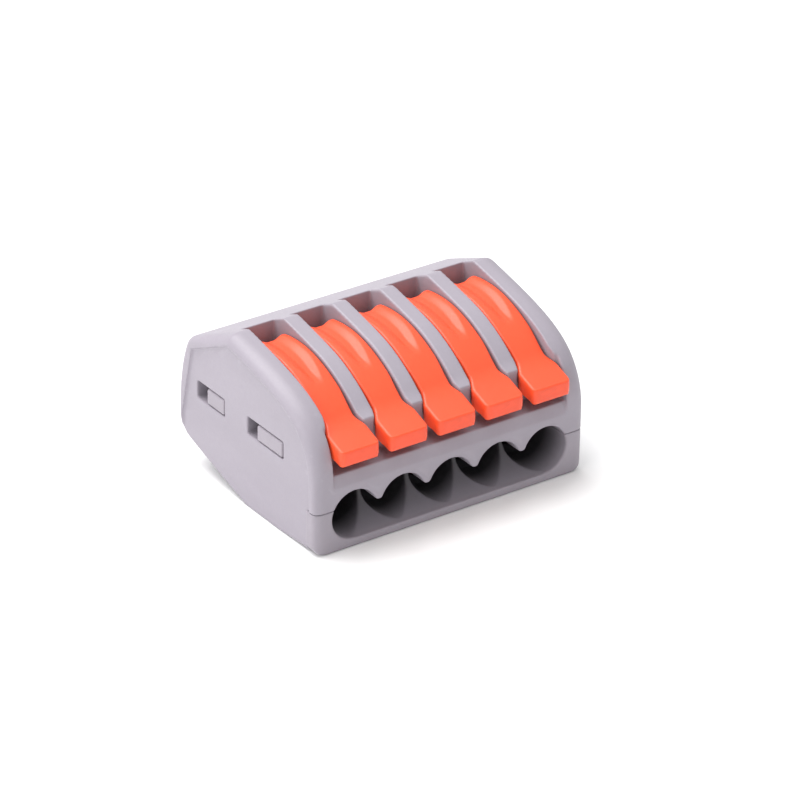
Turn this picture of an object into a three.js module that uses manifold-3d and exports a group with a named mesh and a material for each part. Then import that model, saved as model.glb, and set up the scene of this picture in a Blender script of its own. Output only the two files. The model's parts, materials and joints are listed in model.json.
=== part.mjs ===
// Five-pole lever wire connector, closed.
// Millimetres, +Z up. The wire entries face -Y and the poles stand side by side along X.
// The origin is the middle of the underside.
import * as THREE from 'three';
import { mergeVertices } from 'three/addons/utils/BufferGeometryUtils.js';
import Module from 'manifold-3d';

const wasm = await Module();
wasm.setup();

// ---------------------------------------------------------------- driving dimensions
const POLES = 5;
const PITCH = 4.72; // from one wire entry to the next
const END_WALL = 1.5; // from the last pole's cell to the side face
const DEPTH = 21.1; // with the lever tabs, which reach past the housing's front
const TAB_OVERHANG = 0.8;
const HEIGHT = 14.5;

const GAP = 0.3; // between pieces that rest on each other
const SIDE_GAP = 0.25; // on each side of a lever or a spring
const PIN_GAP = 0.15; // round a trunnion

// shell
const EDGE_ROUND = 0.6; // outer edges of the two side faces
const BACK_WALL = 1.95;
const BAR_TOP = 6.85; // top of the bar over the wire entries
const CREASE = 5.75; // where the front face starts to lean back
const BAR_LEAN = 0.35;
const PARTING = 3.85; // joint between housing and base at the front
const CORNER_DEPTH = 1.15; // depth of the base's full-width front corners
const CORNER_ROUND = 1.4; // lower corners of the base, seen from the front
const FLOOR = 0.95; // thickness of the base plate
const BASE_SIDE_WALL = 1.1; // from a side face of the housing to the base plate
const CREST_Y = 1.95; // where the top arc reaches its highest point
const SLOPE_TOP_Y = 3.2; // where the top starts to fall to the back
const SLOPE_DROP = 2.45; // fall of the top, from there to the back edge
const PANEL_DEPTH = 0.15; // sunk panel on each side face
const PANEL_RIM = 1.0;

// wire entries
const BORE_RADIUS = 2.15;
const BORE_Z = 2.95;
const GUIDE_RADIUS = 1.55; // entry where it opens into the clamp chamber
const FUNNEL_START = 4.4; // depth at which the entry starts to narrow
const CHAMBER_FRONT = -4.1;
const SCOOP_FLOOR = 0.75; // height left under the scoop between two entries

// pole chamber and lever slot
const LEVER_WIDTH = 2.8;
const TAB_WIDTH = 3.4;
const TAB_BOTTOM = 8.0;
const TAB_RISE = 0.6; // of the tab's underside, towards the back
const TAB_FRONT_TOP = 9.35;
const FLARE_FRONT = 1.1; // where the slots start to narrow, behind the housing's front
const FLARE_LENGTH = 1.3;
const TAB_CORNER = 0.6;
const LEVER_SUNK = 0.3; // lever's back below the housing's top
const LEVER_REAR = { y: 2.5, z: 13.9 };
const RIB_FRONT = 1.6; // ribs between the tabs end this far behind the front
const RECESS_STEP = 0.12; // front recess past the last slot on each side
const PIVOT_Y = 0.9;
const PIVOT_DEPTH = 3.3; // pivot below the housing's top
const TRUNNION_RADIUS = 0.9;
const TRUNNION_LENGTH = 0.5; // each side
const HUB_RADIUS = 1.55;
const SWING_GAP = 0.3;
const LEVER_OPEN = THREE.MathUtils.degToRad(90);

// contacts
const STRIP = 0.4; // thickness of the spring strip
const SPRING_WIDTH = 3.3;
const CAGE_RAIL = 0.3; // each side of the wire window
const WINDOW_SIDE_GAP = 0.3;
const SPRING_OPEN = THREE.MathUtils.degToRad(12.5);
const BUS_BOTTOM = 5.3;
const BUS_THICKNESS = 0.7;
const BUS_FRONT = 0.2;
const BUS_LENGTH = 3.0;
const BUS_OVERHANG = 1.3; // past the last pole's middle
const TONGUE_FRONT = -3.75;
const CAGE_Y = -3.0; // middle of the window leg
const CAGE_BAR = 0.9; // height of the bar under the window
const FIXED_LEG_FRONT = -0.6;

// snap-in tabs of the base and their windows, from front to back
const WINDOWS = [{ front: -4.8, back: 0.4 }, { front: 3.7, back: 7.85 }];
const WINDOW_BOTTOM = 6.75;
const WINDOW_TOP = 8.35;
const WINDOW_VOID = 1.5; // open end behind each tab's nose
const TAB_SIDE_WALL = 1.8; // from a side face to the inside of a latch tab
const TAB_PLATE = 0.55;
const NOSE_SUNK = 0.2; // nose below the side face

// ---------------------------------------------------------------- values that follow
const HALF_WIDTH = (POLES * PITCH) / 2 + END_WALL;
const TAB_FRONT = -DEPTH / 2;
const FRONT = TAB_FRONT + TAB_OVERHANG;
const BACK = DEPTH / 2;
const CHAMBER_WIDTH = SPRING_WIDTH + 2 * SIDE_GAP;
const WINDOW_WIDTH = SPRING_WIDTH - 2 * CAGE_RAIL;
const BUS_TOP = BUS_BOTTOM + BUS_THICKNESS;
const PIVOT_Z = HEIGHT - PIVOT_DEPTH;
const SPRING_TOP = PIVOT_Z - HUB_RADIUS - SIDE_GAP;
const SPRING_BOTTOM = BUS_TOP + GAP;
const BEND_RADIUS = (SPRING_TOP - SPRING_BOTTOM) / 2;
const BEND_Z = SPRING_BOTTOM + BEND_RADIUS;
const CHAMBER_BACK = BACK - BACK_WALL;
const BEND_Y = CHAMBER_BACK - GAP - BEND_RADIUS;
const CEILING = SPRING_TOP + GAP;
const BASE_HALF = HALF_WIDTH - BASE_SIDE_WALL;
const LATCH_X = HALF_WIDTH - TAB_SIDE_WALL;
const SLOT_WIDTH = LEVER_WIDTH + 2 * SIDE_GAP;
const TAB_SLOT_WIDTH = TAB_WIDTH + 2 * SIDE_GAP;
const SLOPE_BOTTOM_Y = 0.6; // where the underside starts to rise to the back
const HEEL = { y: BACK - 1.55, z: 2.35 }; // end of that rise
const RISE = HEEL.z / (HEEL.y - SLOPE_BOTTOM_Y);
const BEYOND = 2; // how far a cut runs past a face
const poleX = Array.from({ length: POLES }, (_, i) => (i - (POLES - 1) / 2) * PITCH);

// ---------------------------------------------------------------- solids
const CURVE_STEPS = 8;
const ROUND_STEPS = 24;

function solid(geometry) {
  const plain = geometry.clone();
  plain.deleteAttribute('normal');
  plain.deleteAttribute('uv');
  const merged = mergeVertices(plain, 1e-5);
  return new wasm.Manifold(new wasm.Mesh({
    numProp: 3,
    vertProperties: new Float32Array(merged.attributes.position.array),
    triVerts: new Uint32Array(merged.index.array),
  }));
}

function block(x0, x1, y0, y1, z0, z1) {
  const box = new THREE.BoxGeometry(x1 - x0, y1 - y0, z1 - z0);
  return solid(box.translate((x0 + x1) / 2, (y0 + y1) / 2, (z0 + z1) / 2));
}

// A side outline, drawn in y and z, swept from x0 to x1.
function sweepX(shape, x0, x1, round = 0) {
  const geometry = new THREE.ExtrudeGeometry(shape, {
    depth: x1 - x0 - 2 * round,
    curveSegments: CURVE_STEPS,
    bevelEnabled: round > 0,
    bevelSize: round,
    bevelOffset: -round,
    bevelThickness: round,
    bevelSegments: 3,
  });
  geometry.translate(0, 0, x0 + round);
  const toSide = new THREE.Matrix4().makeBasis(
    new THREE.Vector3(0, 1, 0), new THREE.Vector3(0, 0, 1), new THREE.Vector3(1, 0, 0));
  return solid(geometry.applyMatrix4(toSide));
}

// A plan outline, drawn in x and y, raised from z0 to z1.
function sweepZ(shape, z0, z1) {
  const options = { depth: z1 - z0, curveSegments: CURVE_STEPS, bevelEnabled: false };
  return solid(new THREE.ExtrudeGeometry(shape, options).translate(0, 0, z0));
}

// A front outline, drawn in x and z, swept from y0 to y1.
function sweepY(shape, y0, y1) {
  const options = { depth: y1 - y0, curveSegments: CURVE_STEPS, bevelEnabled: false };
  const geometry = new THREE.ExtrudeGeometry(shape, options);
  return solid(geometry.rotateX(Math.PI / 2).translate(0, y1, 0));
}

function rodX(x0, x1, y, z, radius) {
  const rod = new THREE.CylinderGeometry(radius, radius, x1 - x0, ROUND_STEPS);
  return solid(rod.rotateZ(Math.PI / 2).translate((x0 + x1) / 2, y, z));
}

// A round bar along Y: its profile lists radius and y, from the front to the back.
function turnY(profile, x, z) {
  const points = profile.map(([radius, y]) => new THREE.Vector2(radius, y));
  return solid(new THREE.LatheGeometry(points, ROUND_STEPS).translate(x, 0, z));
}

function unite(solids) {
  return solids.reduce((sum, next) => sum.add(next));
}

function polygon(points) {
  return new THREE.Shape(points.map(([a, b]) => new THREE.Vector2(a, b)));
}

// ---------------------------------------------------------------- outlines seen from the side
const SLOPE_END = { y: BACK - 1.95, z: HEIGHT - SLOPE_DROP };
const arcStart = { y: FRONT, z: BAR_TOP - 0.45 };
const arcGrip = { y: CREST_Y - 6.35, z: HEIGHT - 2.7 };

// Outer side outline: flat underside, upright front, long top arc, falling back.
function bodyOutline() {
  const shape = new THREE.Shape();
  shape.moveTo(FRONT, 0);
  shape.lineTo(SLOPE_BOTTOM_Y, 0);
  shape.lineTo(HEEL.y, HEEL.z);
  shape.quadraticCurveTo(BACK, HEEL.z + 0.4, BACK, HEEL.z + 2.25);
  shape.quadraticCurveTo(BACK, HEIGHT - 5.9, BACK - 1.2, SLOPE_END.z - 0.75);
  shape.quadraticCurveTo(BACK - 1.4, SLOPE_END.z - 0.25, SLOPE_END.y, SLOPE_END.z);
  shape.lineTo(SLOPE_TOP_Y, HEIGHT);
  shape.lineTo(CREST_Y, HEIGHT);
  shape.bezierCurveTo(arcGrip.y, HEIGHT, FRONT, arcGrip.z, FRONT, arcStart.z);
  shape.lineTo(FRONT, 0);
  return shape;
}

// The sunk panel of a side face keeps a rim at the back, along the top and at the front.
function panelOutline() {
  const rim = PANEL_RIM;
  const shape = new THREE.Shape();
  shape.moveTo(FRONT + rim, -BEYOND);
  shape.lineTo(BACK - 0.6 * rim, -BEYOND);
  shape.lineTo(BACK - 0.6 * rim, HEEL.z + 2);
  shape.lineTo(SLOPE_END.y - 0.2, SLOPE_END.z - rim);
  shape.lineTo(SLOPE_TOP_Y, HEIGHT - rim);
  shape.lineTo(CREST_Y, HEIGHT - rim);
  shape.bezierCurveTo(arcGrip.y + 0.3 * rim, HEIGHT - rim, FRONT + rim, arcGrip.z - 0.6 * rim,
    FRONT + rim, arcStart.z - 0.6 * rim);
  return shape;
}

// Space over the bar and under the lever's arm, open to the top and the front.
// The bar's face leans back above the crease.
function slotOutline() {
  const shape = new THREE.Shape();
  shape.moveTo(FRONT - BEYOND, CREASE);
  shape.lineTo(FRONT, CREASE);
  shape.lineTo(FRONT + BAR_LEAN, BAR_TOP);
  shape.lineTo(FRONT + 2.35, BAR_TOP);
  shape.bezierCurveTo(FRONT + 2.75, HEIGHT - 5.2, PIVOT_Y - 4.9, HEIGHT - 3.1,
    PIVOT_Y - 2.7, PIVOT_Z + 0.1);
  shape.lineTo(PIVOT_Y, PIVOT_Z + 0.1);
  shape.lineTo(PIVOT_Y, HEIGHT + BEYOND);
  shape.lineTo(FRONT - BEYOND, HEIGHT + BEYOND);
  return shape;
}

// Distance from the pivot to the spring when the lever stands at this angle.
function camReach(leverAngle) {
  const bend = (leverAngle * SPRING_OPEN) / LEVER_OPEN;
  return (BEND_Y - PIVOT_Y) * Math.sin(bend) + (PIVOT_Z - BEND_Z) * Math.cos(bend)
    - BEND_RADIUS - SIDE_GAP;
}

// The cam face is the curve that keeps its distance to the flat spring at every lever angle.
function camPoints() {
  const steps = 10;
  const turn = (LEVER_OPEN + SPRING_OPEN) / LEVER_OPEN;
  const small = 1e-4;
  return Array.from({ length: steps + 1 }, (_, i) => {
    const lever = (LEVER_OPEN * i) / steps;
    const facing = -Math.PI / 2 + turn * lever;
    const reach = camReach(lever);
    const slide = (camReach(lever + small) - reach) / (small * turn);
    return [
      PIVOT_Y + reach * Math.cos(facing) - slide * Math.sin(facing),
      PIVOT_Z + reach * Math.sin(facing) + slide * Math.cos(facing),
    ];
  });
}

const leverTop = HEIGHT - LEVER_SUNK;
const hubFront = THREE.MathUtils.degToRad(160);
const TAB_END = { y: FRONT + 2.65, z: TAB_FRONT_TOP + 1.8 }; // on the lever's back
const SWING_RADIUS = Math.hypot(LEVER_REAR.y - PIVOT_Y, LEVER_REAR.z - PIVOT_Z) + SWING_GAP;

function leverOutline() {
  const front = TAB_FRONT;
  const shape = new THREE.Shape();
  shape.moveTo(FRONT + 1.9, TAB_BOTTOM + TAB_RISE);
  shape.lineTo(front + 0.35, TAB_BOTTOM);
  shape.quadraticCurveTo(front, TAB_BOTTOM, front, TAB_BOTTOM + 0.35);
  shape.lineTo(front, TAB_FRONT_TOP - 0.25);
  shape.quadraticCurveTo(front, TAB_FRONT_TOP, front + 0.2, TAB_FRONT_TOP + 0.1);
  shape.bezierCurveTo(front + 1.3, TAB_FRONT_TOP + 0.6, TAB_END.y - 0.9, TAB_END.z - 0.75,
    TAB_END.y, TAB_END.z);
  shape.bezierCurveTo(TAB_END.y + 1.5, TAB_END.z + 1.3, PIVOT_Y - 3.8, leverTop,
    PIVOT_Y - 0.6, leverTop);
  shape.lineTo(LEVER_REAR.y, LEVER_REAR.z);
  camPoints().reverse().forEach(([y, z]) => shape.lineTo(y, z));
  shape.lineTo(PIVOT_Y, PIVOT_Z - HUB_RADIUS);
  shape.absarc(PIVOT_Y, PIVOT_Z, HUB_RADIUS, -Math.PI / 2, hubFront - 2 * Math.PI, true);
  shape.bezierCurveTo(PIVOT_Y - 5.1, HEIGHT - 2.6, FRONT + 2.45, HEIGHT - 4.6,
    FRONT + 1.9, TAB_BOTTOM + TAB_RISE);
  return shape;
}

// Plan outline of a lever, or of its slot when it is drawn larger all round.
function leverPlan(x, armWidth, tabWidth, front, back, corner) {
  const arm = armWidth / 2;
  const tab = tabWidth / 2;
  const flareFront = FRONT + FLARE_FRONT;
  const flareBack = flareFront + FLARE_LENGTH;
  const middle = (flareFront + flareBack) / 2;
  const shape = new THREE.Shape();
  shape.moveTo(x - arm, back);
  shape.lineTo(x - arm, flareBack);
  shape.bezierCurveTo(x - arm, middle, x - tab, middle, x - tab, flareFront);
  shape.lineTo(x - tab, front + corner);
  shape.quadraticCurveTo(x - tab, front, x - tab + corner, front);
  shape.lineTo(x + tab - corner, front);
  shape.quadraticCurveTo(x + tab, front, x + tab, front + corner);
  shape.lineTo(x + tab, flareFront);
  shape.bezierCurveTo(x + tab, middle, x + arm, middle, x + arm, flareBack);
  shape.lineTo(x + arm, back);
  return shape;
}

// ---------------------------------------------------------------- shared cutters
// Wire entry: a straight mouth, a funnel, and a guide into the clamp chamber.
function wireEntry(x) {
  return turnY([
    [0, FRONT - BEYOND],
    [BORE_RADIUS, FRONT - BEYOND],
    [BORE_RADIUS, FRONT + FUNNEL_START],
    [GUIDE_RADIUS, CHAMBER_FRONT],
    [GUIDE_RADIUS, CHAMBER_FRONT + BEYOND],
    [0, CHAMBER_FRONT + BEYOND],
  ], x, BORE_Z);
}

// Everything that the base plate fills, grown by a margin above and at its end.
function floorOutline(margin) {
  const end = CHAMBER_BACK - GAP + margin;
  return polygon([
    [FRONT - BEYOND, -BEYOND],
    [end, -BEYOND],
    [end, FLOOR + margin + RISE * (end - SLOPE_BOTTOM_Y)],
    [SLOPE_BOTTOM_Y, FLOOR + margin],
    [FRONT - BEYOND, FLOOR + margin],
  ]);
}

// ---------------------------------------------------------------- housing
// One slot for each lever; at the front they join, from one side wall to the other.
function leverSlots() {
  const wide = HALF_WIDTH + BEYOND;
  const back = PIVOT_Y + SWING_RADIUS + 0.05;
  const sides = unite([
    sweepX(slotOutline(), -wide, wide),
    rodX(-wide, wide, PIVOT_Y, PIVOT_Z, SWING_RADIUS),
    block(-wide, wide, PIVOT_Y, back, PIVOT_Z, HEIGHT + BEYOND),
  ]);
  const front = FRONT - BEYOND;
  const high = HEIGHT + 2 * BEYOND;
  const half = poleX[POLES - 1] + TAB_SLOT_WIDTH / 2 + RECESS_STEP;
  const plans = poleX.map((x) => sweepZ(
    leverPlan(x, SLOT_WIDTH, TAB_SLOT_WIDTH, front, back + BEYOND, TAB_CORNER), 0, high));
  const recess = block(-half, half, front - BEYOND, FRONT + RIB_FRONT, 0, high);
  return sides.intersect(unite([...plans, recess]));
}

// Guides that let the trunnions in from below and stop them at the pivot.
function trunnionGuide(x) {
  const half = LEVER_WIDTH / 2 + TRUNNION_LENGTH + SIDE_GAP / 2;
  const radius = TRUNNION_RADIUS + PIN_GAP;
  return unite([
    rodX(x - half, x + half, PIVOT_Y, PIVOT_Z, radius),
    block(x - half, x + half, PIVOT_Y - radius, PIVOT_Y + radius, CEILING - 0.1, PIVOT_Z),
  ]);
}

function clampChamber(x) {
  const half = CHAMBER_WIDTH / 2;
  return block(x - half, x + half, CHAMBER_FRONT, CHAMBER_BACK, -BEYOND, CEILING);
}

function sideOpenings(side) {
  const cuts = [];
  const mirrored = (x0, x1, ...rest) => block(Math.min(side * x0, side * x1),
    Math.max(side * x0, side * x1), ...rest);
  const inner = LATCH_X - GAP;
  for (const { front, back } of WINDOWS) {
    cuts.push(mirrored(inner, HALF_WIDTH + BEYOND, front, back, WINDOW_BOTTOM, WINDOW_TOP));
    cuts.push(mirrored(inner, LATCH_X + TAB_PLATE + GAP, front, back - WINDOW_VOID + GAP,
      -BEYOND, WINDOW_TOP - 0.1));
  }
  const panel = sweepX(panelOutline(), -PANEL_DEPTH, BEYOND);
  const place = side > 0 ? panel.translate([HALF_WIDTH, 0, 0])
    : panel.mirror([1, 0, 0]).translate([-HALF_WIDTH, 0, 0]);
  return unite([...cuts, place]);
}

function busNotch() {
  const half = poleX[POLES - 1] + BUS_OVERHANG + GAP;
  return block(-half, half, BUS_FRONT - GAP, BUS_FRONT + BUS_LENGTH + GAP, -BEYOND, BUS_TOP + GAP);
}

function makeHousing() {
  const reach = BASE_HALF + GAP;
  const cuts = [
    leverSlots(),
    ...poleX.map(trunnionGuide),
    ...poleX.map(clampChamber),
    ...poleX.map(wireEntry),
    busNotch(),
    sweepX(floorOutline(GAP), -reach, reach),
    block(-reach, reach, FRONT - BEYOND, CHAMBER_FRONT, -BEYOND, PARTING),
    block(-HALF_WIDTH - BEYOND, HALF_WIDTH + BEYOND, FRONT - BEYOND,
      FRONT + CORNER_DEPTH + GAP, -BEYOND, PARTING),
    sideOpenings(-1),
    sideOpenings(1),
  ];
  return sweepX(bodyOutline(), -HALF_WIDTH, HALF_WIDTH, EDGE_ROUND).subtract(unite(cuts));
}

// ---------------------------------------------------------------- base
function roundedFront() {
  const shape = new THREE.Shape();
  const side = HALF_WIDTH + 0.1;
  const under = -0.1;
  shape.moveTo(-side, PARTING);
  shape.lineTo(-side, CORNER_ROUND);
  shape.quadraticCurveTo(-side, under, CORNER_ROUND - side, under);
  shape.lineTo(side - CORNER_ROUND, under);
  shape.quadraticCurveTo(side, under, side, CORNER_ROUND);
  shape.lineTo(side, PARTING);
  return sweepY(shape, FRONT - BEYOND, BACK + BEYOND);
}

// The walls between two entries are scooped back from the front face.
function dividerScoop() {
  const outer = poleX[POLES - 1];
  return rodX(-outer, outer, FRONT, PARTING, PARTING - SCOOP_FLOOR);
}

function latchTab(side, { front, back }) {
  const y0 = front + GAP;
  const y1 = back - WINDOW_VOID;
  const inner = LATCH_X;
  const outer = LATCH_X + TAB_PLATE;
  const nose = HALF_WIDTH - NOSE_SUNK;
  const top = WINDOW_TOP - GAP;
  const outline = polygon([
    [inner, FLOOR / 2], [outer, FLOOR / 2], [outer, WINDOW_BOTTOM + GAP],
    [nose, WINDOW_BOTTOM + GAP], [nose, top - 0.4], [outer + 0.15, top], [inner, top],
  ]);
  const tab = sweepY(outline, y0, y1);
  return side > 0 ? tab : tab.mirror([1, 0, 0]);
}

// Ribs that hold the busbar up, in line with the walls between the poles.
function busRibs() {
  const half = (PITCH - CHAMBER_WIDTH) / 2;
  return poleX.slice(1).map((x) => block(x - PITCH / 2 - half, x - PITCH / 2 + half, BUS_FRONT,
    BUS_FRONT + BUS_LENGTH, FLOOR - 0.1, BUS_BOTTOM - GAP));
}

function makeBase() {
  const body = sweepX(bodyOutline(), -HALF_WIDTH, HALF_WIDTH, EDGE_ROUND);
  const plate = sweepX(floorOutline(0), -BASE_HALF, BASE_HALF);
  const frontBlock = block(-BASE_HALF, BASE_HALF, FRONT - BEYOND, CHAMBER_FRONT - GAP, -BEYOND,
    PARTING - GAP);
  const corners = block(-HALF_WIDTH - BEYOND, HALF_WIDTH + BEYOND, FRONT - BEYOND,
    FRONT + CORNER_DEPTH, -BEYOND, PARTING - GAP);
  const tabs = [-1, 1].flatMap((side) => WINDOWS.map((window) => latchTab(side, window)));
  const cuts = unite([...poleX.map(wireEntry), dividerScoop()]);
  const outside = unite([plate, frontBlock, corners, ...tabs]).intersect(body);
  return unite([outside.intersect(roundedFront().add(tabRoom())), ...busRibs()]).subtract(cuts);
}

// Room above the parting plane that the base's rounded front leaves to the latch tabs.
function tabRoom() {
  return block(-HALF_WIDTH, HALF_WIDTH, FRONT, BACK, PARTING - 1, HEIGHT);
}

// ---------------------------------------------------------------- contacts
function makeBusbar() {
  const half = poleX[POLES - 1] + BUS_OVERHANG;
  const tongue = WINDOW_WIDTH / 2 - WINDOW_SIDE_GAP;
  const tongues = poleX.map((x) => block(x - tongue, x + tongue, TONGUE_FRONT, BUS_FRONT + 0.1,
    BUS_BOTTOM, BUS_TOP));
  return unite([
    block(-half, half, BUS_FRONT, BUS_FRONT + BUS_LENGTH, BUS_BOTTOM, BUS_TOP),
    ...tongues,
  ]);
}

// Fixed leg and rear bend of a clamp spring.
function makeSpringSeat(x) {
  const half = SPRING_WIDTH / 2;
  const shape = new THREE.Shape();
  shape.moveTo(FIXED_LEG_FRONT, SPRING_BOTTOM);
  shape.lineTo(BEND_Y, SPRING_BOTTOM);
  shape.absarc(BEND_Y, BEND_Z, BEND_RADIUS, -Math.PI / 2, Math.PI / 2, false);
  shape.absarc(BEND_Y, BEND_Z, BEND_RADIUS - STRIP, Math.PI / 2, -Math.PI / 2, true);
  shape.lineTo(FIXED_LEG_FRONT, SPRING_BOTTOM + STRIP);
  return sweepX(shape, x - half, x + half);
}

// Moving leg of a clamp spring: it runs forward under the cam, then down as the wire window.
function makeSpringCage(x) {
  const half = SPRING_WIDTH / 2;
  const round = 0.7;
  const front = CAGE_Y - STRIP / 2;
  const bottom = BUS_BOTTOM - GAP - CAGE_BAR;
  const shape = new THREE.Shape();
  shape.moveTo(BEND_Y - GAP, SPRING_TOP);
  shape.lineTo(front + round, SPRING_TOP);
  shape.quadraticCurveTo(front, SPRING_TOP, front, SPRING_TOP - round);
  shape.lineTo(front, bottom);
  shape.lineTo(front + STRIP, bottom);
  shape.lineTo(front + STRIP, SPRING_TOP - round);
  shape.quadraticCurveTo(front + STRIP, SPRING_TOP - STRIP, front + round, SPRING_TOP - STRIP);
  shape.lineTo(BEND_Y - GAP, SPRING_TOP - STRIP);
  const window = block(x - WINDOW_WIDTH / 2, x + WINDOW_WIDTH / 2, front - 1, front + 1,
    bottom + CAGE_BAR, SPRING_TOP - round - 0.2);
  return sweepX(shape, x - half, x + half).subtract(window);
}

// ---------------------------------------------------------------- levers
function makeLever(x) {
  const half = TAB_WIDTH / 2;
  const side = sweepX(leverOutline(), x - half, x + half);
  const plan = leverPlan(x, LEVER_WIDTH, TAB_WIDTH, TAB_FRONT, BACK, TAB_CORNER);
  const arm = side.intersect(sweepZ(plan, 0, HEIGHT));
  const reach = LEVER_WIDTH / 2 + TRUNNION_LENGTH;
  return arm.add(rodX(x - reach, x + reach, PIVOT_Y, PIVOT_Z, TRUNNION_RADIUS));
}

// ---------------------------------------------------------------- materials and pieces
const greyPlastic = new THREE.MeshStandardMaterial({ color: 0xb9b1bc, roughness: 0.5, metalness: 0 });
const basePlastic = new THREE.MeshStandardMaterial({ color: 0xb0a8b3, roughness: 0.52, metalness: 0 });
const orangePlastic = new THREE.MeshStandardMaterial({ color: 0xff6a3a, roughness: 0.42, metalness: 0 });
const springSteel = new THREE.MeshStandardMaterial({ color: 0x9b9da1, roughness: 0.32, metalness: 1 });
const tinnedCopper = new THREE.MeshStandardMaterial({ color: 0xcfc9bd, roughness: 0.38, metalness: 1 });

function piece(name, manifold, material) {
  const { vertProperties, triVerts } = manifold.getMesh();
  const geometry = new THREE.BufferGeometry();
  geometry.setAttribute('position', new THREE.BufferAttribute(vertProperties, 3));
  geometry.setIndex(new THREE.BufferAttribute(triVerts, 1));
  geometry.computeVertexNormals();
  const mesh = new THREE.Mesh(geometry, material);
  mesh.name = name;
  return mesh;
}

const connector = new THREE.Group();
connector.add(piece('housing', makeHousing(), greyPlastic));
connector.add(piece('base', makeBase(), basePlastic));
connector.add(piece('busbar', makeBusbar(), tinnedCopper));
poleX.forEach((x, index) => {
  const pole = index + 1;
  connector.add(piece(`lever_${pole}`, makeLever(x), orangePlastic));
  connector.add(piece(`clamp_spring_${pole}`, makeSpringSeat(x), springSteel));
  connector.add(piece(`spring_cage_${pole}`, makeSpringCage(x), springSteel));
});

export default connector;
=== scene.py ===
import json
from bisect import bisect_right
from math import atan2, cos, hypot, pi, radians, sin, sqrt, tau

import bmesh
import bpy
from bpy.props import FloatProperty, FloatVectorProperty, PointerProperty
from mathutils import Matrix, Vector
from mathutils.geometry import interpolate_bezier


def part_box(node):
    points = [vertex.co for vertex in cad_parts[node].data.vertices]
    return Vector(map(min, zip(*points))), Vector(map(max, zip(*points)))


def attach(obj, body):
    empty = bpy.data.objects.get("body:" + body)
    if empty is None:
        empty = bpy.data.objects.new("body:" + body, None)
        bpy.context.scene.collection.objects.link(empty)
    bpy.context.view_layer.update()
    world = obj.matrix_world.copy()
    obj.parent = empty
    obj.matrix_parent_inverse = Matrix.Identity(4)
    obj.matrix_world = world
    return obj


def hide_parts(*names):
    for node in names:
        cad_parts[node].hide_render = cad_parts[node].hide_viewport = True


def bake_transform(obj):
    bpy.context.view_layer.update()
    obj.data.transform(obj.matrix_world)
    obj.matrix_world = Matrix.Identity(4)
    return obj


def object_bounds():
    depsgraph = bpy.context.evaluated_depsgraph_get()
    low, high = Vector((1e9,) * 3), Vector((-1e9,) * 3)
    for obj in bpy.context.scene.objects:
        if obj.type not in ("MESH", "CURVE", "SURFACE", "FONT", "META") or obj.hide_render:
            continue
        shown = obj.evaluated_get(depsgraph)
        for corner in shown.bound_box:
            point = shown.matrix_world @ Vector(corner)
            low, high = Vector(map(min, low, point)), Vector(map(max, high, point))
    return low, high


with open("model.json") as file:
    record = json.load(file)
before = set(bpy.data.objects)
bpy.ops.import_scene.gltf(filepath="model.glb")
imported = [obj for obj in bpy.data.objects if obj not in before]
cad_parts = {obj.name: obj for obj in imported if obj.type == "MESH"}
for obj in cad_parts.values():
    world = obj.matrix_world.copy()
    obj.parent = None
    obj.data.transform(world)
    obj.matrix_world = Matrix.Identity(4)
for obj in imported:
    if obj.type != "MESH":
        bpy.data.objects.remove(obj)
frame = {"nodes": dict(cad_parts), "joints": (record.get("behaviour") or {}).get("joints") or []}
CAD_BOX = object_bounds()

bl_info = {
    "name": "Lever Wire Connector",
    "version": (1, 0, 0),
    "blender": (4, 5, 0),
    "location": "3D View > Sidebar > Connector",
    "description": "Makes the moulded shells, levers and springs of a five-pole lever wire connector",
    "category": "Object",
}

MM = 0.001  # every size below is in millimetres unless its name says otherwise


def box_mm(node):
    low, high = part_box(node)
    return low / MM, high / MM


# ---------------------------------------------------------------- places taken from the frame
SIDE, BACK, TOP = box_mm("housing")[1]
FRONT = box_mm("base")[0].y
POLES = sorted(name[len("lever_"):] for name in frame["nodes"] if name.startswith("lever_"))
POLE_X = [sum(box_mm(f"lever_{pole}"), Vector()).x / 2 for pole in POLES]
PITCH = POLE_X[1] - POLE_X[0]
JOINTS = {joint["name"]: Vector(joint["pos_m"]) / MM for joint in frame["joints"]}
PIVOT = JOINTS[f"lever_{POLES[0]}_tilt"]
BEND = JOINTS[f"cage_{POLES[0]}_flex"]
LEVER_LOW, LEVER_HIGH = box_mm(f"lever_{POLES[0]}")
TAB_FRONT = LEVER_LOW.y
SEAT_LOW, SEAT_HIGH = box_mm(f"clamp_spring_{POLES[0]}")
CAGE_LOW, CAGE_HIGH = box_mm(f"spring_cage_{POLES[0]}")
BUS_LOW, BUS_HIGH = box_mm("busbar")

# ---------------------------------------------------------------- shell
STRETCH = 1.45  # an outer edge's rounding is this much wider across than it is high
BAR_TOP = 6.85
CREASE = 5.75
BAR_LEAN = 0.35
PARTING = 3.85
CORNER_DEPTH = 1.4
CORNER_WIDE = 1.4
CORNER_HIGH = 1.3
FLOOR = 0.95
BASE_HALF = SIDE - 1.1
RISE_Y = 0.6
HEEL = (BACK - 1.55, 2.35)
CREST_Y = 2.84
SLOPE_TOP_Y = 3.2
SLOPE_END = (BACK - 1.95, TOP - 2.45)
ARC_START = (FRONT, BAR_TOP - 0.45)
ARC_REAR = (-5.08, 13.0)
ARC_GRIP = (FRONT, 11.91)
PANEL_DEPTH = 0.2
RIM = 1.0
BORE = 2.15
BORE_Z = 2.95
GUIDE = 1.55
FUNNEL_Y = FRONT + 4.4
CHAMBER_FRONT = -4.1
CHAMBER_BACK = BACK - 1.95
CHAMBER_HALF = 1.9
CEILING = 9.7
SCOOP = 3.1
ARM_SLOT = 3.25
TAB_SLOT = 3.9
FLARE_FRONT = FRONT + 1.1
FLARE_LENGTH = 1.3
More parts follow.
